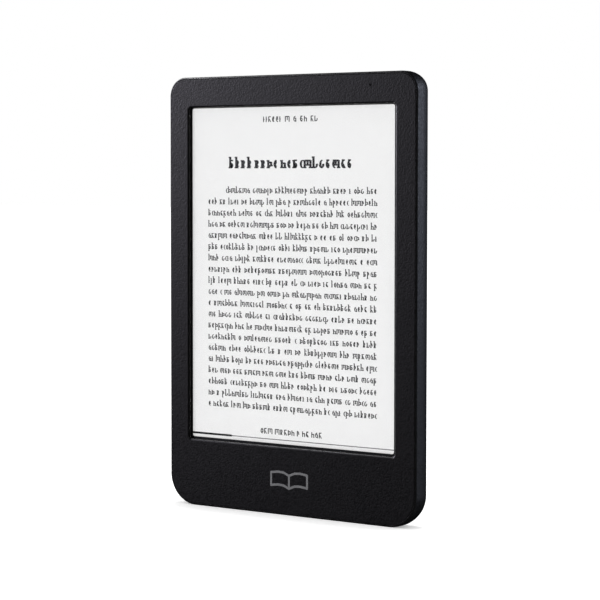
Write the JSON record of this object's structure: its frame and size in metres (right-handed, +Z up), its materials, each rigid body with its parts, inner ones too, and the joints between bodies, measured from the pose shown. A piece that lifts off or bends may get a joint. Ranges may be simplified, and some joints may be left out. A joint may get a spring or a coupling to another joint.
{
  "type": "e-reader",
  "caption": "Hand-held reader with a recessed paper-like display in a slim matte black body, with a charging socket and a power button.",
  "frame": {"origin": "middle of the bottom edge, on the surface that the reader stands on", "axes": "+Z up the page, +X to the right seen from the front, -Y out of the screen towards the reader"},
  "size_m": [0.112, 0.0092, 0.16],
  "materials": {
    "bezel_plastic": "fine-grained matte black moulded plastic",
    "cover_plastic": "fine-grained matte black moulded plastic, slightly bluish where it turns to the light",
    "button_plastic": "matte black moulded plastic, a little smoother than the cover",
    "lens_plastic": "smoked clear plastic",
    "mask_film": "printed black film",
    "touch_film": "clear film with an anti-glare surface",
    "guide_film": "clear moulded light guide",
    "page_surface": "paper-like matte white-grey display surface",
    "black_foam": "closed-cell foam and tape, black",
    "frame_alloy": "die-cast light alloy, bead blasted",
    "steel": "nickel-plated steel",
    "shield_metal": "tin-plated sheet metal",
    "circuit_board": "green solder mask over glass laminate",
    "chip_resin": "moulded black resin",
    "ceramic": "fired ceramic with tinned ends",
    "connector_plastic": "ivory heat-resistant plastic",
    "socket_plastic": "black heat-resistant plastic",
    "gold_contact": "gold-plated copper",
    "flex_film": "amber polyimide film over copper",
    "amber_tape": "amber polyimide tape",
    "lead_insulation": "red silicone insulation",
    "battery_foil": "embossed aluminium laminate pouch",
    "led_body": "white package with a yellow phosphor window"
  },
  "bodies": {
    "housing": {"front_bezel": "bezel_plastic", "rear_cover": "cover_plastic", "mid_frame": "frame_alloy", "frame_screws": "steel", "status_lens": "lens_plastic", "display_gasket": "black_foam", "border_mask": "mask_film", "touch_panel": "touch_film", "light_guide": "guide_film", "light_strip": "flex_film", "light_leds": "led_body", "epaper_panel": "page_surface", "panel_tape": "black_foam", "display_flex": "flex_film", "touch_flex": "flex_film", "light_flex": "flex_film", "display_connector": "connector_plastic", "touch_connector": "connector_plastic", "light_connector": "connector_plastic", "led_connector": "connector_plastic", "status_led": "led_body", "led_flex": "flex_film", "battery_cell": "battery_foil", "battery_circuit": "circuit_board", "battery_wrap": "amber_tape", "battery_leads": "lead_insulation", "battery_plug": "connector_plastic", "battery_socket": "connector_plastic", "battery_tape": "black_foam", "foam_pads": "black_foam", "main_board": "circuit_board", "board_screws": "steel", "processor": "chip_resin", "memory_chip": "chip_resin", "storage_chip": "chip_resin", "power_chip": "chip_resin", "display_power_chip": "chip_resin", "wireless_module": "shield_metal", "antenna": "ceramic", "shield_fence": "shield_metal", "shield_lid": "shield_metal", "inductors": "chip_resin", "capacitors": "ceramic", "crystal": "shield_metal", "hall_sensor": "chip_resin", "usb_shell": "shield_metal", "usb_tongue": "socket_plastic", "usb_contacts": "gold_contact", "switch_body": "socket_plastic", "switch_cover": "shield_metal", "switch_dome": "steel"},
    "button": {"power_button": "button_plastic"},
    "plunger": {"switch_plunger": "connector_plastic"}
  },
  "joints": [
    {"name": "button_press", "type": "slide", "parent": "housing", "child": "button", "axis": [0, -1, 0], "range_m": [0, 0.00035], "stiffness_N_per_m": 4500},
    {"name": "plunger_press", "type": "slide", "parent": "housing", "child": "plunger", "axis": [0, -1, 0], "range_m": [0, 0.00035]}
  ],
  "couplings": [
    {"joint": "plunger_press", "follows": "button_press", "ratio": 1}
  ]
}
